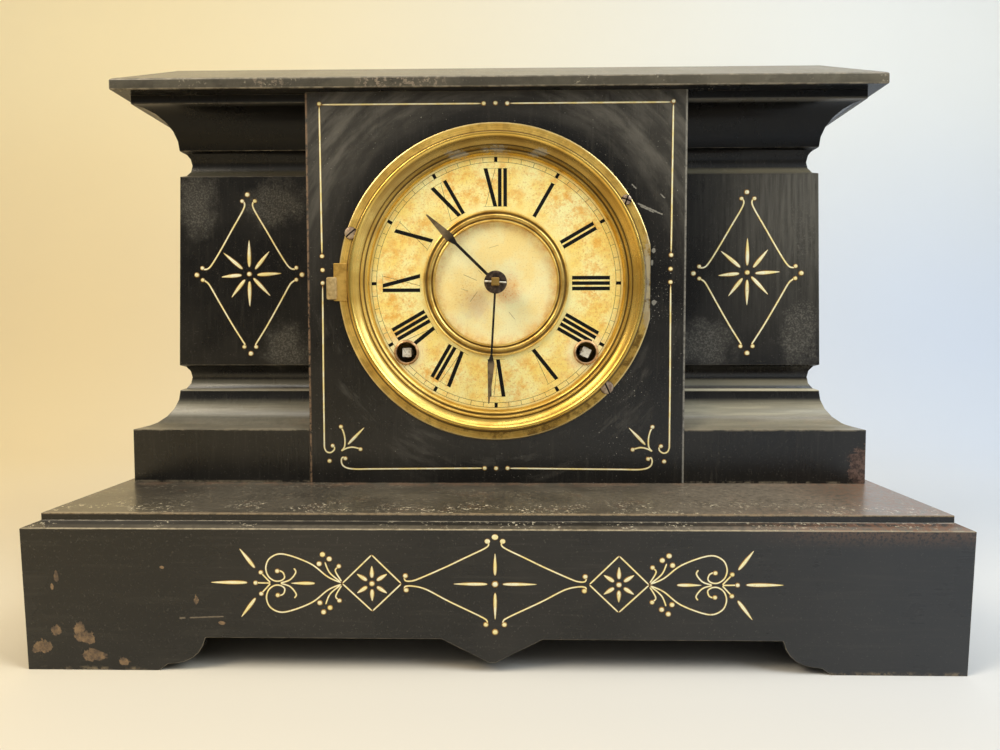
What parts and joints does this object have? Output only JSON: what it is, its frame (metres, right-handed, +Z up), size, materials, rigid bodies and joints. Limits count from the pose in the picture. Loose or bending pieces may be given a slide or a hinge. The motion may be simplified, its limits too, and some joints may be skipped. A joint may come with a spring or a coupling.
{
  "type": "mantel clock",
  "caption": "Black-enamelled cast-iron mantel clock with incised gilt ornament, brass-rimmed paper dial, spring-wound movement, pendulum, coil gong and a rear access door.",
  "frame": {"origin": "on the floor under the middle of the base", "axes": "+X to the right of the dial, +Y to the back of the clock, +Z up"},
  "size_m": [0.4, 0.18, 0.2833],
  "materials": {
    "iron_enamel": "satin black enamel, worn at the arrises",
    "sheet_iron": "dull black japan",
    "brass": "polished, lightly tarnished",
    "aged_brass": "aged brass",
    "black_steel": "blackened steel",
    "steel": "plain steel",
    "dial_paper": "matt printed paper on a pressed metal plate, foxed"
  },
  "bodies": {
    "case": {"base_casting": "iron_enamel", "left_wing": "iron_enamel", "right_wing": "iron_enamel", "front_panel": "iron_enamel", "top_casting": "iron_enamel", "gong_stand": "iron_enamel", "back_plate": "sheet_iron", "bezel_ring": "brass", "door_catch": "brass", "centre_ring": "brass", "left_winding_collet": "aged_brass", "right_winding_collet": "aged_brass", "movement_front_plate": "aged_brass", "movement_back_plate": "aged_brass", "upper_left_pillar": "aged_brass", "upper_right_pillar": "aged_brass", "lower_left_pillar": "aged_brass", "lower_right_pillar": "aged_brass", "suspension_post": "aged_brass", "front_left_tie_rod": "steel", "front_right_tie_rod": "steel", "rear_left_tie_rod": "steel", "rear_right_tie_rod": "steel", "back_plate_screw_1": "steel", "back_plate_screw_2": "steel", "back_plate_screw_3": "steel", "back_plate_screw_4": "steel", "door_hinge_pin": "steel", "bezel_screw_1": "steel", "bezel_screw_2": "steel", "bezel_screw_3": "steel", "upper_left_movement_screw": "steel", "upper_right_movement_screw": "steel", "lower_left_movement_screw": "steel", "lower_right_movement_screw": "steel", "strike_mainspring": "steel", "time_mainspring": "steel", "suspension_spring": "steel", "gong_coil": "steel", "dial_plate": "dial_paper"},
    "back_door": {"back_door": "sheet_iron", "back_door_knob": "brass"},
    "minute": {"centre_arbor": "steel", "minute_hand": "black_steel", "hand_collar": "black_steel", "hand_pin": "brass"},
    "minute_wheel": {"minute_wheel": "brass"},
    "hour": {"hour_wheel": "brass", "hour_hand": "black_steel"},
    "strike_winding": {"strike_winding_arbor": "steel"},
    "time_winding": {"time_winding_arbor": "steel"},
    "escape_wheel": {"escape_wheel": "brass"},
    "verge": {"verge": "steel"},
    "pendulum": {"pendulum_rod": "steel", "pendulum_bob": "brass"},
    "rating_nut": {"rating_nut": "brass"},
    "strike_hammer": {"strike_hammer": "steel"}
  },
  "joints": [
    {"name": "back_door_hinge", "type": "hinge", "parent": "case", "child": "back_door", "pos_m": [0.0642, 0.088, 0.1695], "axis": [0, 0, -1], "range_deg": [0, 110]},
    {"name": "minute_hand_turn", "type": "hinge", "parent": "case", "child": "minute", "pos_m": [0, 0, 0.1695], "axis": [0, 1, 0], "continuous": true},
    {"name": "minute_wheel_turn", "type": "hinge", "parent": "case", "child": "minute_wheel", "pos_m": [0.016, 0.005, 0.1695], "axis": [0, 1, 0], "continuous": true},
    {"name": "hour_hand_turn", "type": "hinge", "parent": "case", "child": "hour", "pos_m": [0, 0, 0.1695], "axis": [0, 1, 0], "continuous": true},
    {"name": "strike_winding_turn", "type": "hinge", "parent": "case", "child": "strike_winding", "pos_m": [-0.0462, 0, 0.1341], "axis": [0, 1, 0], "range_deg": [0, 2880]},
    {"name": "time_winding_turn", "type": "hinge", "parent": "case", "child": "time_winding", "pos_m": [0.0462, 0, 0.1341], "axis": [0, 1, 0], "range_deg": [0, 2880]},
    {"name": "escape_wheel_turn", "type": "hinge", "parent": "case", "child": "escape_wheel", "pos_m": [0, 0.05, 0.184], "axis": [0, 1, 0], "continuous": true},
    {"name": "pendulum_swing", "type": "hinge", "parent": "case", "child": "pendulum", "pos_m": [0, 0.0575, 0.2201], "axis": [0, 1, 0], "range_deg": [-4, 4], "deforming": ["suspension_spring"]},
    {"name": "verge_rock", "type": "hinge", "parent": "case", "child": "verge", "pos_m": [0, 0.052, 0.2035], "axis": [0, 1, 0], "range_deg": [-7, 7]},
    {"name": "rating_nut_turn", "type": "hinge", "parent": "pendulum", "child": "rating_nut", "pos_m": [0, 0.0575, 0.102], "axis": [0, 0, 1], "continuous": true},
    {"name": "strike_hammer_lift", "type": "hinge", "parent": "case", "child": "strike_hammer", "pos_m": [-0.0394, 0.06, 0.1655], "axis": [0, 1, 0], "range_deg": [-1.8, 22]}
  ],
  "couplings": [
    {"joint": "minute_wheel_turn", "follows": "minute_hand_turn", "ratio": -0.33333},
    {"joint": "hour_hand_turn", "follows": "minute_hand_turn", "ratio": 0.083333},
    {"joint": "verge_rock", "follows": "pendulum_swing", "ratio": 1.606}
  ]
}
